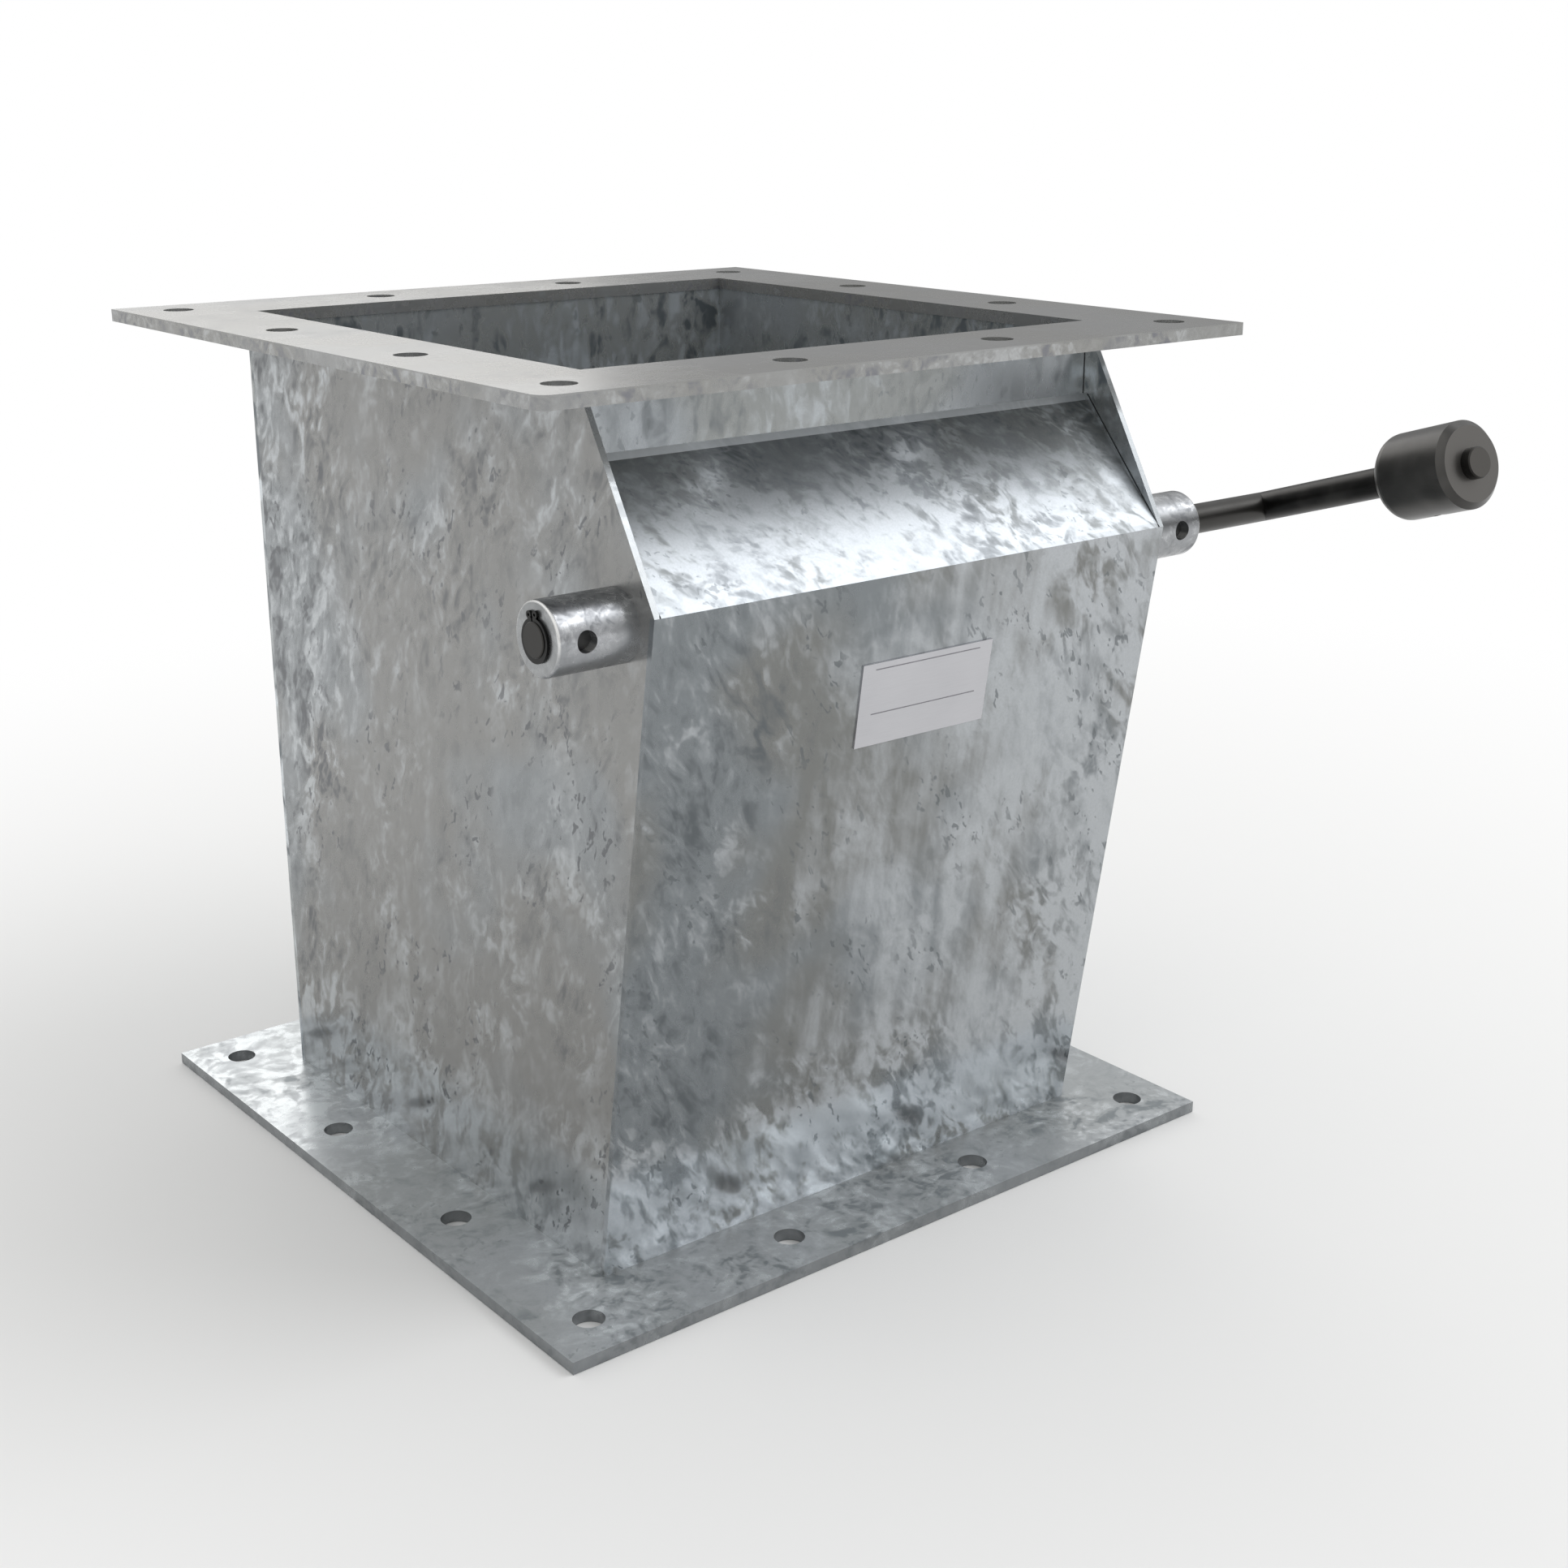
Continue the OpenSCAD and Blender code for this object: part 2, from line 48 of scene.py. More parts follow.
# Name plate, and the painted shade of the open hairline joints between plates
PLATE_T = 0.8 * MM
RULE_LENGTH = 63.0 * MM
RULE_W = 0.55 * MM
RULE_T = 0.06 * MM
RULE_HEIGHTS = (16.9 * MM, -4.6 * MM)
SEAM_W = 0.5 * MM
PLATE_LAP = 3.0 * MM

# Directions that the finishes follow
ALONG_SHAFT = (1.0, 0.0, 0.0)
UPWARDS = (0.0, 0.0, 1.0)
LEVER_RISE = math.radians(17.5)
LEVER_LEAN = math.radians(6.0)
ALONG_LEVER = (
    -math.sin(LEVER_LEAN),
    -math.cos(LEVER_RISE) * math.cos(LEVER_LEAN),
    math.sin(LEVER_RISE) * math.cos(LEVER_LEAN),
)

# Marks in the zinc: the coordinates that each is drawn on, its width against a cloud's, its
# noise's detail, roughness and distortion, and how that noise is mapped
MARKS = {
    "cloud": ("curled", 1.5, 5.0, 0.6, 0.0, (0.3, 0.7, 0.38, 0.64)),
    "flame": ("curled", 0.34, 2.5, 0.55, 0.7, (0.34, 0.66, -0.32, 0.32)),
    "lick": ("curled", 0.15, 2.0, 0.5, 0.5, (0.32, 0.68, -0.18, 0.18)),
    "cluster": ("drained", 1.1, 2.0, 0.5, 0.0, (0.46, 0.60, 0.1, 1.0)),
    "fleck": ("drained", 0.14, 2.0, 0.6, 0.4, (0.60, 0.66, 0.0, 1.0)),
    "patch": ("still", 1.8, 2.0, 0.5, 0.0, (0.36, 0.60, 0.35, 1.0)),
    "tint": ("still", 3.0, 2.0, 0.5, 0.0, (0.40, 0.60, 0.0, 1.0)),
    "run": ("run_off", 0.5, 3.0, 0.6, 0.0, (0.3, 0.7, -1.0, 1.0)),
}
CURL_WIDTH, CURL_REACH = 1.3, 0.55
RUN_STRETCH = 0.10
RELIEF, CLOUD_RELIEF = 0.18, 1.5

# Stretches of the zinc's tone over which it turns from dark to its ground, from there to pale,
# and from dull to bright
DARK_SPAN, PALE_SPAN, DULL_SPAN = (0.0, 0.5), (0.5, 1.05), (0.2, 0.9)

# Fine grains, all drawn coarser than the real ones of 0.3 mm and less, so that they show
ZINC_GRAIN_MM, ZINC_GRAIN_SHARE = 1.1, 0.12
BLACK_GRAIN_MM = 0.6
ROLLED_LINE_MM, ROLLED_STRETCH = 0.35, 0.03

# Stretches of a noise that show, in a grain and in a film of oil
GRAIN_SPAN, FILM_SPAN = (0.3, 0.7), (0.35, 0.70)

# Broader marks on black steel, aluminium, printed ink and in the painted shade of the open joints
OIL_FILM_MM = 22.0
SHEET_CLOUD_MM = 30.0
INK_MM = 2.5
BRIDGE_MM = 9.0

# Roughness of black steel and of aluminium from smooth to dull, and how far a dull body's varies
BLACK_ROUGH, ROLLED_ROUGH, ROUGH_SPREAD = (0.34, 0.42), (0.30, 0.44), 0.08

# Shares of an aluminium sheet's tone that its lines and its clouds make, and of black steel's
# that the worn film makes
LINE_SHARE, CLOUD_SHARE, WORN_SHARE = 0.6, 0.4, 0.35

# How squarely a surface looks one way, where a flat face begins and is whole, and where the
# painted highlight on a rounded rim begins and ends, and how far up it looks
SQUARE = (0.96, 0.995)
RIM_START, RIM_END, RIM_UP = (0.2, 0.5), (0.97, 0.88), (-0.45, 0.25)

# Every map from one value to another eases in and out
SMOOTH = {"interpolation_type": "SMOOTHSTEP"}

# Studio: the world is dimmer low down and in the corner behind the valve on its right
FLOOR_HALF = 6.0
FLOOR_DROP = 0.3 * MM
FLOOR_NEAR = 0.40
FLOOR_FAR = 1.15
FLOOR_CENTRE = (0.15, 0.0, 0.0)
FLOOR_GREY = "#ececeb"
FLOOR_ROUGH, FLOOR_SHINE = 0.9, 0.1
WORLD_DIFFUSE = 0.88
WORLD_GLOSSY = 0.95
WORLD_LOW = 0.45
WORLD_RISE = (-0.2, 0.5)
WORLD_CORNER = 0.52
CORNER_X, CORNER_Y, CORNER_Z = (0.30, 0.62), (0.0, 0.4), (0.7, 0.2)


def linear(hex_colour):
    """Turns an sRGB hex colour into linear red, green, blue and alpha."""
    shares = [int(hex_colour[i : i + 2], 16) / 255 for i in (1, 3, 5)]
    return (*(c / 12.92 if c <= 0.04045 else ((c + 0.055) / 1.055) ** 2.4 for c in shares), 1.0)


def add(tree, kind, inputs=(), **settings):
    """Adds a shader node with its settings and returns its outputs. The inputs come in their
    order or by name, each as a link or a value, and a hex text is a colour."""
    node = tree.nodes.new("ShaderNode" + kind)
    for name, value in settings.items():
        setattr(node, name, value)
    for key, value in inputs.items() if isinstance(inputs, dict) else enumerate(inputs):
        if isinstance(value, bpy.types.NodeSocket):
            tree.links.new(value, node.inputs[key])
        else:
            node.inputs[key].default_value = linear(value) if isinstance(value, str) else value
    return node.outputs


def fineness(grain_mm):
    """The Scale of a noise whose grains are that wide."""
    return 1 / (grain_mm * MM)


def new_material(name):
    """Starts a node material and returns it with its tree and its principled shader."""
    material = bpy.data.materials.new(name)
    material.use_nodes = True
    tree = material.node_tree
    return material, tree, tree.nodes["Principled BSDF"]


def object_place(tree, offset_mm=(0, 0, 0), scale=(1, 1, 1), lean=(0, 0)):
    """Object coordinates, moved to another part of the pattern, leaned sideways and stretched."""
    place = add(tree, "TexCoord")["Object"]
    turn = (math.radians(lean[0]), math.radians(lean[1]), 0.0)
    inputs = {"Vector": place, "Location": [v * MM for v in offset_mm], "Rotation": turn}
    place = add(tree, "Mapping", inputs)["Vector"]
    return add(tree, "Mapping", {"Vector": place, "Scale": scale})["Vector"]


def reckon(tree, operation, first, *others):
    """Works several values into one, from the first to the last."""
    for value in others:
        first = add(tree, "Math", (first, value), operation=operation)[0]
    return first


def layered(tree, colour, *layers):
    """Lays tones over a colour. Each layer is a value, how that turns into the layer's share, or
    None where it is the share, and the tone."""
    for value, stretch, tone in layers:
        share = add(tree, "MapRange", (value, *stretch), **SMOOTH)[0] if stretch else value
        colour = add(tree, "Mix", {0: share, 6: colour, 7: tone}, data_type="RGBA")[2]
    return colour


def warped(tree, place, grain_mm, reach_mm):
    """Pushes places about by a noise, so that the patterns on them curl like flames."""
    inputs = {"Vector": place, "Scale": fineness(grain_mm), "Detail": 2.0, "Roughness": 0.5}
    push = add(tree, "TexNoise", inputs)["Color"]
    centred = add(tree, "VectorMath", (push, (0.5, 0.5, 0.5)), operation="SUBTRACT")[0]
    inputs = (centred, (reach_mm * MM,) * 3, place)
    return add(tree, "VectorMath", inputs, operation="MULTIPLY_ADD")[0]


def slopes(tree, runs):
    """The strongest of several slopes, each given as its axis, where it starts and ends in mm and
    how high it rises."""
    axes = add(tree, "SeparateXYZ", (add(tree, "TexCoord")["Object"],))
    rising = []
    for axis, start, end, rise in runs:
        inputs = (axes[axis], start * MM, end * MM, 0.0, rise)
        rising.append(add(tree, "MapRange", inputs, **SMOOTH)[0])
    return reckon(tree, "MAXIMUM", *rising)


def squareness(tree, facing):
    """How squarely a surface looks one way or its opposite, from 0 to 1."""
    inputs = (add(tree, "TexCoord")["Normal"], facing)
    dot = add(tree, "VectorMath", inputs, operation="DOT_PRODUCT")["Value"]
    return add(tree, "Math", (dot,), operation="ABSOLUTE")[0]


def painted_rim_highlight(tree, facing):
    """The share of a painted highlight: 1 where the upper half of a round edge turns from the
    side to the end face.
    """
    square = squareness(tree, facing)
    up = add(tree, "SeparateXYZ", (add(tree, "TexCoord")["Normal"],))["Z"]
    shares = []
    for value, stretch in ((square, RIM_START), (square, RIM_END), (up, RIM_UP)):
        shares.append(add(tree, "MapRange", (value, *stretch), **SMOOTH)[0])
    return reckon(tree, "MULTIPLY", *shares)


def cover(tree, shader, colour, rough, height, relief, relief_mm, values):
    """Gives a shader its colour, its roughness from a value and how that turns into it, a fine
    relief and its plain values."""
    inputs = {"Height": height, "Strength": relief, "Distance": relief_mm * MM}
    links = {
        "Base Color": colour,
        "Roughness": add(tree, "MapRange", rough, **SMOOTH)[0],
        "Normal": add(tree, "Bump", inputs)[0],
    }
    for name, source in links.items():
        tree.links.new(source, shader.inputs[name])
    for name, value in values.items():
        shader.inputs[name].default_value = value


def galvanised(
    name,
    tones,
    offset_mm=(0, 0, 0),
    rough=(0.17, 0.31),
    cloud_mm=30.0,
    lean=(0, 0),
    tall=1.6,
    calm=0.35,
    wild=(),
    paler_and_painted_light=(),
    runs=0.06,
    spots=0.5,
    metallic=0.75,
    faces=None,
    rim=None,
    ripple_mm=0.11,
):
    """Hot-dip galvanised steel. Its zinc froze in soft clouds, with feathered flames where it ran
    and clusters of small dark flecks, drawn out the way the plate drained. The four tones run
    from the dark flecks over the warm and the cool ground to the palest zinc. Flames are strong
    on the wild slopes and calm elsewhere, and the zinc is lighter on the lighter slopes, which
    are mostly painted light and shade and in places the zinc's own lighter bottom. Faces that
    look one way, or all others, take a tone of their own, which on plate edges is a painted
    highlight or, on the bottom flange, a painted shade, and the upper half of a round end's rim
    takes a painted highlight. Lengths are in mm and the lean in degrees."""
    material, tree, shader = new_material(name)
    dark_tone, warm_tone, cool_tone, pale_tone = tones
    drained = object_place(tree, offset_mm, (1, 1, 1 / tall), lean)
    places = {
        "still": object_place(tree, offset_mm),
        "drained": drained,
        "run_off": object_place(tree, offset_mm, (1, 1, RUN_STRETCH)),
        "curled": warped(tree, drained, cloud_mm * CURL_WIDTH, cloud_mm * CURL_REACH),
    }
    raw, mark = {}, {}
    for kind, (place, width, detail, roughness, distortion, mapping) in MARKS.items():
        inputs = {"Vector": places[place], "Scale": fineness(cloud_mm * width), "Detail": detail}
        inputs.update({"Roughness": roughness, "Distortion": distortion})
        raw[kind] = add(tree, "TexNoise", inputs)[0]
        mark[kind] = add(tree, "MapRange", (raw[kind], *mapping), **SMOOTH)[0]
    strength = reckon(tree, "MAXIMUM", slopes(tree, wild), calm) if wild else calm
    strokes = reckon(tree, "ADD", mark["flame"], mark["lick"])
    tone = reckon(
        tree,
        "ADD",
        reckon(tree, "MULTIPLY", strokes, mark["patch"], strength),
        mark["cloud"],
        reckon(tree, "MULTIPLY", mark["run"], runs),
        *([slopes(tree, paler_and_painted_light)] if paler_and_painted_light else []),
    )
    flecks = reckon(tree, "MULTIPLY", mark["fleck"], mark["cluster"], spots)
    inputs = {"Vector": places["still"], "Scale": fineness(ZINC_GRAIN_MM)}
    grain = add(tree, "TexNoise", {**inputs, "Detail": 2.0, "Roughness": 0.7})[0]
    layers = [
        (mark["tint"], None, cool_tone),
        (tone, (*DARK_SPAN, 1.0, 0.0), dark_tone),
        (tone, PALE_SPAN, pale_tone),
        (flecks, None, dark_tone),
        (grain, (*GRAIN_SPAN, 0.0, ZINC_GRAIN_SHARE), dark_tone),
    ]
    # On the hood, side and right plates the faces' tone is a painted highlight on the edges; on
    # the bottom flange it is painted shade
    if faces:
        facing, off, on, face_tone_and_painted_edge_shading = faces
        layers.append((squareness(tree, facing), (*SQUARE, off, on), face_tone_and_painted_edge_shading))
    # A painted highlight on the upper half of a round end's rim
    if rim:
        facing, rim_highlight_tone = rim
        layers.append((painted_rim_highlight(tree, facing), None, rim_highlight_tone))
    colour = layered(tree, warm_tone, *layers)
    dull = (tone, *DULL_SPAN, rough[1], rough[0])
    height = reckon(tree, "ADD", tone, reckon(tree, "MULTIPLY", raw["cloud"], CLOUD_RELIEF))
    cover(tree, shader, colour, dull, height, RELIEF, ripple_mm, {"Metallic": metallic})
    return material


def black_steel(name, base, worn, facing=None, oil=0.4):
    """Chemically blackened and oiled steel: near black and satin, another black where the oil
    film thins and on its turned end faces."""
    material, tree, shader = new_material(name)
    inputs = {"Vector": object_place(tree), "Detail": 2.0}
    film = add(tree, "TexNoise", {**inputs, "Scale": fineness(OIL_FILM_MM), "Roughness": 0.5})[0]
    inputs.update({"Scale": fineness(BLACK_GRAIN_MM), "Roughness": 0.6})
    grain = add(tree, "TexNoise", inputs)[0]
    layers = [(film, (*FILM_SPAN, 0.0, WORN_SHARE), worn)]
    if facing:
        layers.append((squareness(tree, facing), SQUARE, worn))
    colour = layered(tree, base, *layers)
    dull = (film, *FILM_SPAN, *BLACK_ROUGH)
    values = {"Metallic": 0.85, "Coat Weight": oil, "Coat Roughness": 0.3}
    cover(tree, shader, colour, dull, grain, relief=0.12, relief_mm=0.02, values=values)
    return material


def mill_aluminium(name, base, pale):
    """Rolled aluminium sheet: pale satin with fine lines along the rolling direction."""
    material, tree, shader = new_material(name)
    inputs = {"Detail": 2.0, "Roughness": 0.5}
    place = object_place(tree, scale=(ROLLED_STRETCH, 1, 1))
    inputs.update({"Vector": place, "Scale": fineness(ROLLED_LINE_MM)})
    lines = add(tree, "TexNoise", inputs)[0]
    inputs.update({"Vector": object_place(tree), "Scale": fineness(SHEET_CLOUD_MM)})
    cloud = add(tree, "TexNoise", inputs)[0]
    lined = reckon(tree, "MULTIPLY", lines, LINE_SHARE)
    clouded = reckon(tree, "MULTIPLY", cloud, CLOUD_SHARE)
    colour = layered(tree, base, (reckon(tree, "ADD", lined, clouded), None, pale))
    dull, values = (lines, *GRAIN_SPAN, *ROLLED_ROUGH), {"Metallic": 1.0}
    cover(tree, shader, colour, dull, lines, relief=0.1, relief_mm=0.01, values=values)
    return material


def dull_solid(name, base, pale, grain_mm, rough, height_mm, sheen=0.0):
    """Acetal, felt or sponge rubber: a dull body with a grain of its own size. The acetal's is
    drawn coarser than its real tool marks of 0.1 mm, so that it shows."""
    material, tree, shader = new_material(name)
    inputs = {"Vector": object_place(tree), "Scale": fineness(grain_mm)}
    grain = add(tree, "TexNoise", {**inputs, "Detail": 4.0, "Roughness": 0.65})[0]
    colour = layered(tree, base, (grain, GRAIN_SPAN, pale))
    dull, values = (grain, *GRAIN_SPAN, rough, rough + ROUGH_SPREAD), {"Sheen Weight": sheen}
    cover(tree, shader, colour, dull, grain, relief=0.5, relief_mm=height_mm, values=values)
    return material


def matt_film(name, tone, other, grain_mm, stretch, rough):
    """A matt film without relief: printed grey ink, thinner in places, or painted shade, the dark
    hairline of an open joint between two plates that meet unwelded, bridged by zinc in places."""
    material, tree, shader = new_material(name)
    inputs = {"Vector": object_place(tree), "Scale": fineness(grain_mm)}
    grain = add(tree, "TexNoise", {**inputs, "Detail": 3.0, "Roughness": 0.6})[0]
    tree.links.new(layered(tree, tone, (grain, stretch, other)), shader.inputs["Base Color"])
    shader.inputs["Roughness"].default_value = rough
    return material


def main_normal(node_name):
    """The way that a plate's front looks: the normal of its largest face on the camera's side."""
    faces = nodes[node_name].data.polygons
    return max(faces, key=lambda face: -face.normal.y * face.area).normal.copy()


# Finishes of the CAD nodes. A zinc's four tones run from dark over warm and cool to pale. A slope
# gives its axis, where it starts and ends in mm and how high it rises. Faces give the way they
# look, the share of their tone on all others and on them, and that tone, which on plate edges
# is a painted highlight and on the bottom flange's edges a painted shade
FINISHES = {
    "zinc_front": galvanised(
        "galvanised_front",
        ("#62676a", "#7f807e", "#83888b", "#b6babd"),
        lean=(0, 32),
        tall=2.2,
        calm=0.22,
        runs=0.11,
        wild=(("X", -45, -95, 0.65), ("X", 50, 100, 0.8), ("Z", 110, 65, 1.0)),
        # Painted light: lighter towards +X and darker towards -X; also lighter towards the bottom
        paler_and_painted_light=(("X", -120, 100, 0.38), ("Z", 85, 45, 0.42)),
        spots=0.7,
    ),
    "zinc_hood": galvanised(
        "galvanised_hood",
        ("#6b7074", "#8b8f90", "#92979b", "#b9bec2"),
        offset_mm=(90, 40, 10),
        rough=(0.34, 0.46),
        cloud_mm=26.0,
        lean=(0, 40),
        tall=2.2,
        calm=1.0,
        # Painted shade at the hood's top under the flange, painted light lower down
        paler_and_painted_light=(("Z", 382, 352, 0.36),),
        # Painted highlight on the hood plate's edges
        faces=(main_normal("hood_plate"), 0.7, 0.0, "#c0c5c9"),
    ),
    "zinc_side": galvanised(
        "galvanised_side",
        ("#696b6e", "#929290", "#969a9c", "#bec2c4"),
        offset_mm=(310, 120, 40),
        cloud_mm=34.0,
        lean=(-28, 0),
        calm=0.6,
        wild=(("Y", -20, 110, 1.0), ("Z", 120, 60, 0.9)),
        # Lighter towards the bottom: the zinc's bright flame zone, lifted further as painted
        # light against the shade near the floor
        paler_and_painted_light=(("Z", 100, 30, 0.30),),
        spots=0.85,
        # Painted highlight on the plate's edges
        faces=(ALONG_SHAFT, 0.6, 0.0, "#b9bec1"),
    ),
    # Lighter tones than the side plate's: painted light on this plate's inner face, seen through
    # the top opening
    "zinc_right_lit": galvanised(
        "galvanised_right_lit",
        ("#747a7e", "#a9acab", "#b1b6ba", "#cfd5d9"),
        offset_mm=(610, 90, 140),
        cloud_mm=40.0,
        calm=1.3,
        # Painted highlight on the plate's edges
        faces=(ALONG_SHAFT, 0.6, 0.0, "#c3c8cb"),
    ),
    # Lighter tones than the side plate's: painted light on this plate's inner face, seen through
    # the top opening
    "zinc_back_lit": galvanised(
        "galvanised_back_lit",
        ("#70767a", "#b0b3b2", "#b7bcc0", "#dae0e4"),
        offset_mm=(610, 390, 240),
        cloud_mm=46.0,
        calm=1.9,
    ),
    "zinc_inlet": galvanised(
        "galvanised_inlet",
        ("#787d80", "#9fa2a1", "#a5aaae", "#c0c6ca"),
        offset_mm=(610, 390, 240),
        cloud_mm=34.0,
        calm=0.5,
    ),
    "zinc_top": galvanised(
        "galvanised_top_flange",
        ("#84858a", "#9a9a97", "#9fa09f", "#b4b6b6"),
        offset_mm=(70, 520, 90),
        cloud_mm=26.0,
        tall=1.0,
        calm=0.18,
        wild=(("Z", 419.6, 419.0, 1.0),),
        spots=0.12,
        ripple_mm=0.02,
    ),
    "zinc_bottom": galvanised(
        "galvanised_bottom_flange",
        ("#8a9093", "#b2b6b7", "#babec1", "#d9dee0"),
        offset_mm=(270, 85, 90),
        rough=(0.27, 0.44),
        cloud_mm=36.0,
        tall=1.0,
        calm=1.15,
        wild=(("Z", 5.6, 5.0, 1.2),),
        # Painted light: lighter towards the back of the flange
        paler_and_painted_light=(("Y", -60, 30, 0.22),),
        ripple_mm=0.05,
        metallic=0.62,
        # Painted shade on the flange's edges and on the walls of its holes
        faces=(UPWARDS, 0.7, 0.0, "#6b6e70"),
    ),
    "zinc_boss": galvanised(
        "galvanised_boss",
        ("#7e8083", "#9a9c9e", "#a5a7aa", "#c6c8ca"),
        offset_mm=(15, 35, 55),
        rough=(0.24, 0.34),
        cloud_mm=20.0,
        tall=1.0,
        calm=1.0,
        spots=0.4,
        metallic=0.88,
        faces=(ALONG_SHAFT, 0.0, 0.7, "#969898"),
        # Painted highlight along the upper rim of each boss's end
        rim=(ALONG_SHAFT, "#eeeeec"),
    ),
    "zinc_inside": galvanised(
        "galvanised_inside",
        ("#5f6669", "#767d80", "#82898d", "#a4abaf"),
        offset_mm=(640, 210, 180),
        rough=(0.4, 0.6),
    ),
    "zinc_fastener": galvanised(
        "zinc_plated_fastener",
        ("#85898c", "#9c9fa1", "#a8acae", "#c4c8ca"),
        offset_mm=(5, 5, 5),
        rough=(0.25, 0.35),
        cloud_mm=8.0,
        tall=1.0,
    ),
    "black_shaft": black_steel(
        "blackened_shaft_steel", "#3a3937", "#32312f", facing=ALONG_SHAFT, oil=0.1
    ),
    "black_ring": black_steel("blackened_spring_steel", "#1a1a19", "#242322", oil=0.1),
    "black_rod": black_steel(
        "blackened_rod_steel", "#242322", "#5b5956", facing=ALONG_LEVER, oil=0.0
    ),
    "black_weight": black_steel(
        "blackened_weight_steel", "#353432", "#686663", facing=ALONG_LEVER
    ),
    "aluminium": mill_aluminium("mill_aluminium", "#b9bcbf", "#d6d8da"),
    "plate": mill_aluminium("name_plate_aluminium", "#b6b6ba", "#d2d2d5"),
    "acetal": dull_solid(
        "turned_acetal", "#1c1c1c", "#262626", grain_mm=0.5, rough=0.38, height_mm=0.02
    ),
    "felt": dull_solid(
        "wool_felt", "#3a3835", "#524f4b", grain_mm=0.7, rough=0.9, height_mm=0.25, sheen=0.3
    ),
    "sponge": dull_solid(
        "sponge_rubber", "#1d1e1f", "#2b2c2d", grain_mm=0.9, rough=0.8, height_mm=0.15
    ),
}
NODE_FINISH = {
    "top_flange": "zinc_top",
    "bottom_flange": "zinc_bottom",
    "left_side_plate": "zinc_side",
    "right_side_plate": "zinc_right_lit",
    "back_plate": "zinc_back_lit",
    "front_plate": "zinc_front",
    "hood_plate": "zinc_hood",
    "inlet_front_wall": "zinc_inlet",
    "left_boss": "zinc_boss",
    "right_boss": "zinc_boss",
    "left_bush": "acetal",
    "right_bush": "acetal",
    "left_shaft_seal": "felt",
    "right_shaft_seal": "felt",
    "seat_front_bar": "zinc_inside",
    "seat_back_bar": "zinc_inside",
    "seat_left_bar": "zinc_inside",
    "seat_right_bar": "zinc_inside",
    "seat_gasket": "sponge",
    "stop_lugs": "zinc_inside",
    "name_plate": "plate",
    "pivot_shaft": "black_shaft",
    "retaining_ring": "black_ring",
    "lever_rod": "black_rod",
    "counterweight": "black_weight",
    "counterweight_screw": "black_weight",
    "flap_blade": "aluminium",
    "left_flap_hub": "zinc_fastener",
    "right_flap_hub": "zinc_fastener",
    "hub_pins": "black_shaft",
    "flap_screws": "zinc_fastener",
    "flap_washers": "zinc_fastener",
    "flap_nuts": "zinc_fastener",
}
for node_name, finish in NODE_FINISH.items():
    nodes[node_name].data.materials.clear()
    nodes[node_name].data.materials.append(FINISHES[finish])


def bar(maker, centre, size, turn):
    """Adds a box to a bmesh, turned about X and then put in place."""
    corners = bmesh.ops.create_cube(maker, size=1.0)["verts"]
    bmesh.ops.scale(maker, verts=corners, vec=size)
    bmesh.ops.rotate(maker, verts=corners, cent=(0, 0, 0), matrix=Matrix.Rotation(turn, 3, "X"))
    bmesh.ops.translate(maker, verts=corners, vec=centre)


def object_from(maker, name, material):
    """Turns a finished bmesh into an object of one material."""
    mesh = bpy.data.meshes.new(name)
    maker.to_mesh(mesh)
    maker.free()
    mesh.materials.append(material)
    made = bpy.data.objects.new(name, mesh)
    bpy.context.collection.objects.link(made)
    return made


def piece_from(maker, name, material):
    """Turns a finished bmesh into a piece that rides on the valve's body."""
    bmesh.ops.recalc_face_normals(maker, faces=maker.faces)
    piece = object_from(maker, name, material)
    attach(piece, "valve_body")


def name_plate_rules():
    """The two printed lines across the blank name plate."""
    outward = main_normal("name_plate")
    upward = outward.cross(Vector((1, 0, 0)))
    if upward.z < 0:
        upward.negate()
    low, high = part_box("name_plate")
    surface = (low + high) / 2 + outward * (PLATE_T / 2)
    maker = bmesh.new()
    for height in RULE_HEIGHTS:
        size = (RULE_LENGTH, RULE_T, RULE_W)
        bar(maker, surface + upward * height, size, math.atan2(-upward.y, upward.z))
    ink = matt_film(
        "grey_ink", "#77767b", "#929197", INK_MM, stretch=(0.4, 0.7, 0.0, 0.5), rough=0.55
    )
    piece_from(maker, "name_plate_rules", ink)


def pocket_seam_shade():
    """Painted shade of the open joints in the pocket's inner corners, beside the inlet wall and
    the hood: dark hairlines, bridged by zinc in places.
    """
    hood_low, hood_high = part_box("hood_plate")
    wall_low, wall_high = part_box("inlet_front_wall")
    maker = bmesh.new()
    rise = wall_high.z - hood_high.z
    run, fall = hood_high.y - hood_low.y - PLATE_LAP, hood_high.z - hood_low.z
    for side in (-1, 1):
        x = side * hood_high.x
        middle = (x, wall_low.y, hood_high.z + rise / 2)
        bar(maker, middle, (SEAM_W, SEAM_W, rise), 0.0)
        middle = (x, hood_low.y + run / 2, hood_low.z + fall / 2)
        bar(maker, middle, (SEAM_W, SEAM_W, math.hypot(run, fall)), math.atan2(-run, fall))
    # Painted shade: a dark hairline standing in for the shade inside an open joint, lighter where
    # zinc bridges it
    joint_shade_film = matt_film(
        "painted_joint_shade", "#1d2022", "#6f7477", BRIDGE_MM, stretch=(0.55, 0.70, 0.0, 0.6), rough=0.8
    )
    piece_from(maker, "pocket_seam_shade", joint_shade_film)


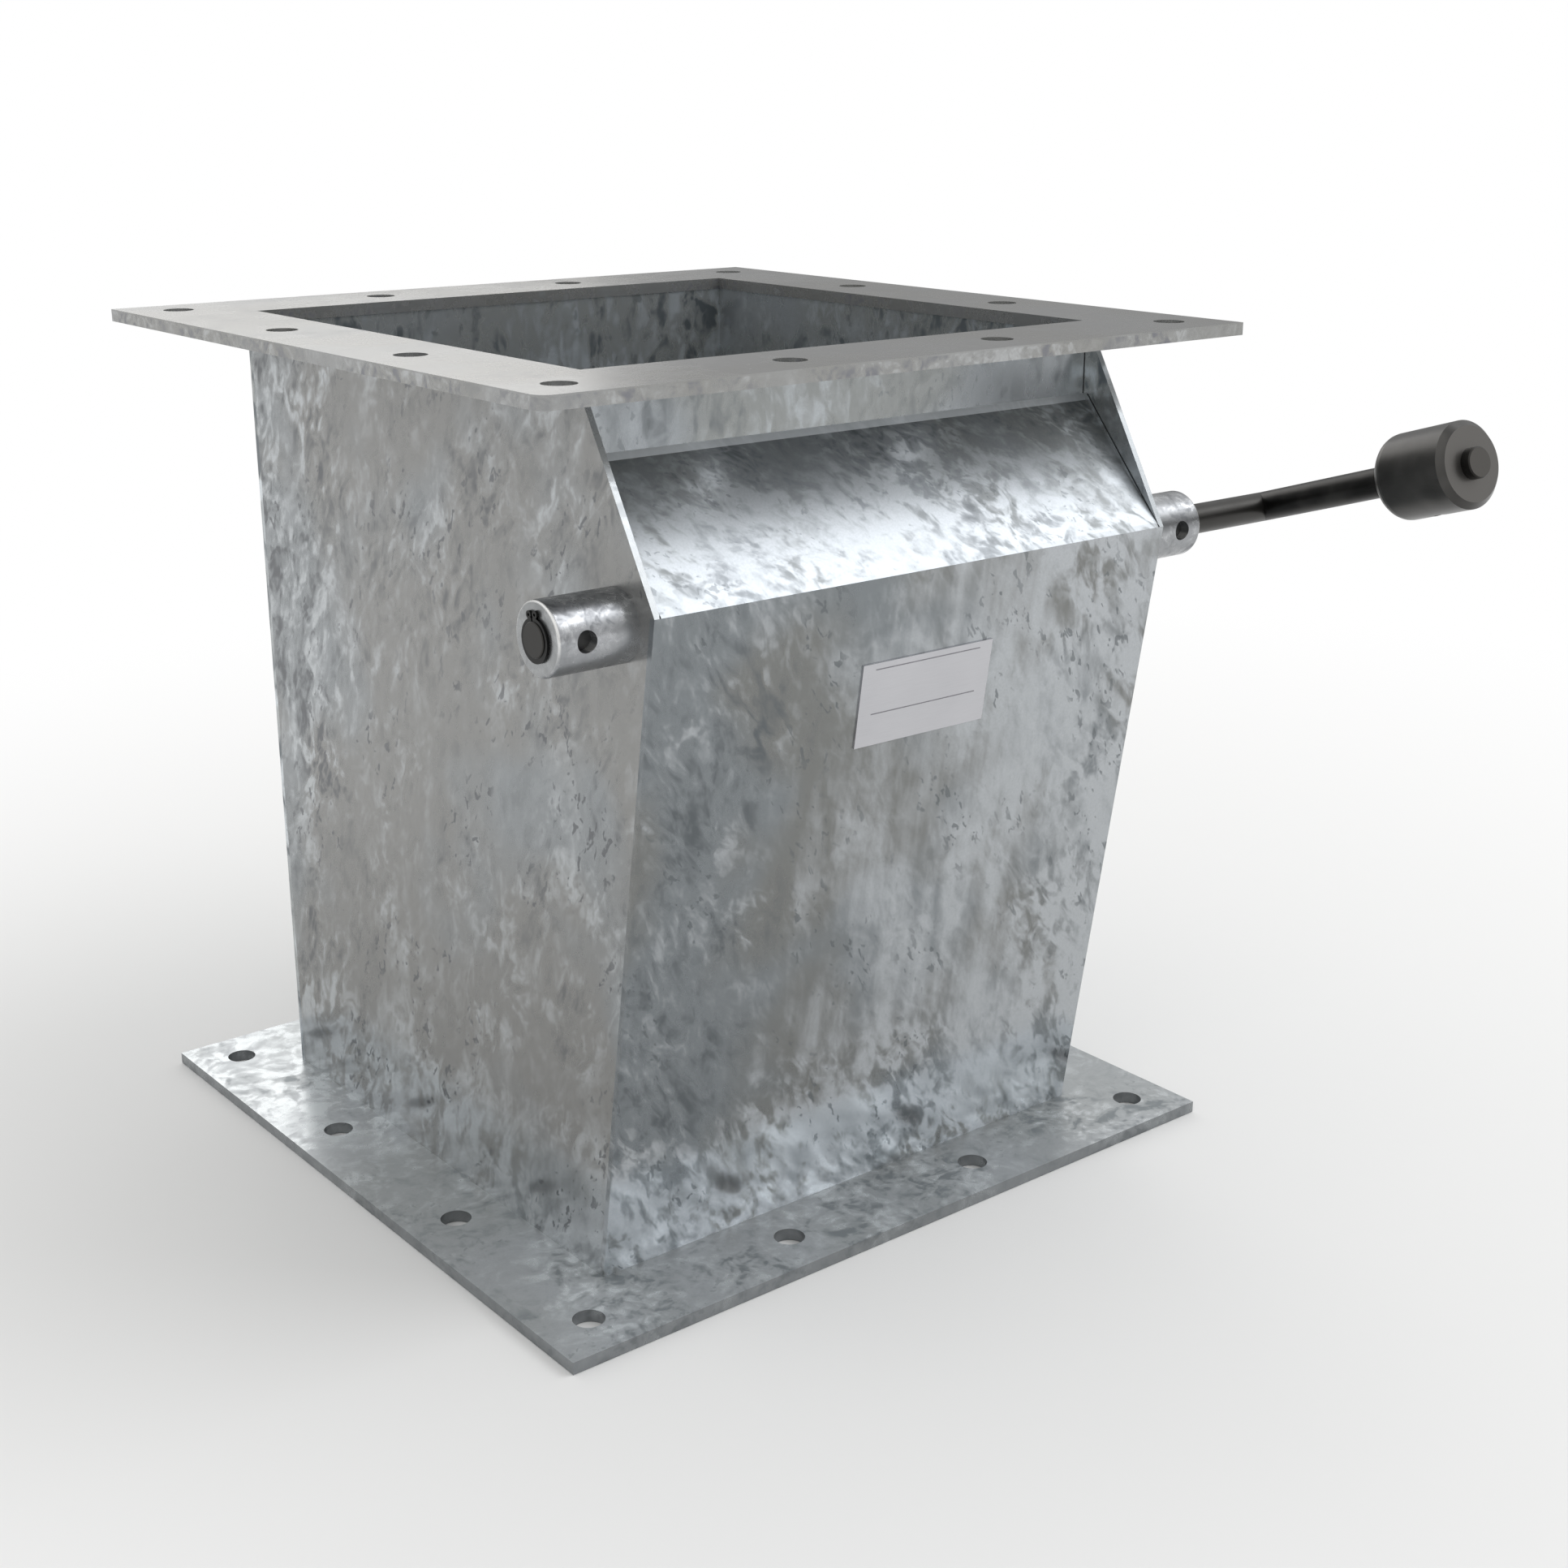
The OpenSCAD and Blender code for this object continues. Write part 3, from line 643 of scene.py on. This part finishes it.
def make_floor():
    """A pale floor that fades into the white background away from the valve, for the rays that
    look at it: camera, mirror and glass rays."""
    material, tree, shader = new_material("studio_floor")
    shader.inputs["Base Color"].default_value = linear(FLOOR_GREY)
    shader.inputs["Roughness"].default_value = FLOOR_ROUGH
    shader.inputs["Specular IOR Level"].default_value = FLOOR_SHINE
    inputs = (object_place(tree), FLOOR_CENTRE)
    distance = add(tree, "VectorMath", inputs, operation="DISTANCE")["Value"]
    far = add(tree, "MapRange", (distance, FLOOR_NEAR, FLOOR_FAR), **SMOOTH)[0]
    path = add(tree, "LightPath")
    rays = [path[f"Is {kind} Ray"] for kind in ("Camera", "Glossy", "Transmission")]
    share = reckon(tree, "MULTIPLY", far, reckon(tree, "MAXIMUM", *rays))
    white = add(tree, "Emission", {"Color": "#ffffff"})[0]
    mix = add(tree, "MixShader", (share, shader.outputs[0], white))[0]
    tree.links.new(mix, tree.nodes["Material Output"].inputs["Surface"])
    maker = bmesh.new()
    bmesh.ops.create_grid(maker, x_segments=1, y_segments=1, size=FLOOR_HALF)
    bmesh.ops.translate(maker, verts=maker.verts, vec=(0, 0, -FLOOR_DROP))
    floor = object_from(maker, "floor", material)


def make_world():
    """A white room to look at, which lights the valve at a plain level and shows dimmer in its
    polish low down and in one corner."""
    world = bpy.data.worlds.new("studio")
    world.use_nodes = True
    bpy.context.scene.world = world
    tree = world.node_tree
    tree.nodes.clear()
    path = add(tree, "LightPath")
    axes = add(tree, "SeparateXYZ", (add(tree, "TexCoord")["Generated"],))
    corner = []
    for axis, stretch in (("X", CORNER_X), ("Z", CORNER_Z), ("Y", CORNER_Y)):
        corner.append(add(tree, "MapRange", (axes[axis], *stretch), **SMOOTH)[0])
    dimmer = reckon(tree, "MULTIPLY", *corner, WORLD_CORNER)
    inputs = (axes["Z"], *WORLD_RISE, WORLD_LOW, WORLD_GLOSSY)
    level = add(tree, "MapRange", inputs, **SMOOTH)[0]
    glossy = reckon(tree, "MULTIPLY", level, reckon(tree, "SUBTRACT", 1.0, dimmer))
    diffuse = path["Is Diffuse Ray"]
    plain = reckon(tree, "MULTIPLY", diffuse, WORLD_DIFFUSE)
    unseen = add(tree, "Mix", {0: diffuse, 2: glossy, 3: plain}, data_type="FLOAT")[0]
    inputs = {0: path["Is Camera Ray"], 2: unseen, 3: 1.0}
    strength = add(tree, "Mix", inputs, data_type="FLOAT")[0]
    background = add(tree, "Background", {"Color": "#ffffff", "Strength": strength})[0]
    add(tree, "OutputWorld", {"Surface": background})


def softbox(name, place, aim, size, watts, colour):
    """A rectangular area lamp that looks at a point."""
    data = bpy.data.lights.new(name, "AREA")
    data.shape = "RECTANGLE"
    data.size, data.size_y = size
    data.energy = watts
    data.color = linear(colour)[:3]
    lamp = bpy.data.objects.new(name, data)
    lamp.location = place
    lamp.rotation_euler = (Vector(aim) - Vector(place)).to_track_quat("-Z", "Y").to_euler()
    bpy.context.collection.objects.link(lamp)


def make_camera():
    """The photograph's camera."""
    data = bpy.data.cameras.new("camera")
    data.sensor_fit = "HORIZONTAL"
    data.sensor_width = SENSOR_MM
    data.lens = LENS_MM
    camera = bpy.data.objects.new("camera", data)
    camera.location = CAMERA_PLACE
    camera.rotation_euler = CAMERA_TURN
    bpy.context.collection.objects.link(camera)
    bpy.context.scene.camera = camera


name_plate_rules()
pocket_seam_shade()
make_camera()
make_floor()
make_world()
softbox(
    "front_right_box",
    place=(1.45, -1.05, 2.1),
    aim=(0, -0.15, 0.35),
    size=(1.7, 1.4),
    watts=18.0,
    colour="#fbfcff",
)
softbox(
    "back_left_box",
    place=(0.5, 1.9, 1.2),
    aim=(0, 0, 0.35),
    size=(1.4, 0.9),
    watts=5.0,
    colour="#fffdfa",
)
bpy.context.scene.view_settings.view_transform = "Standard"
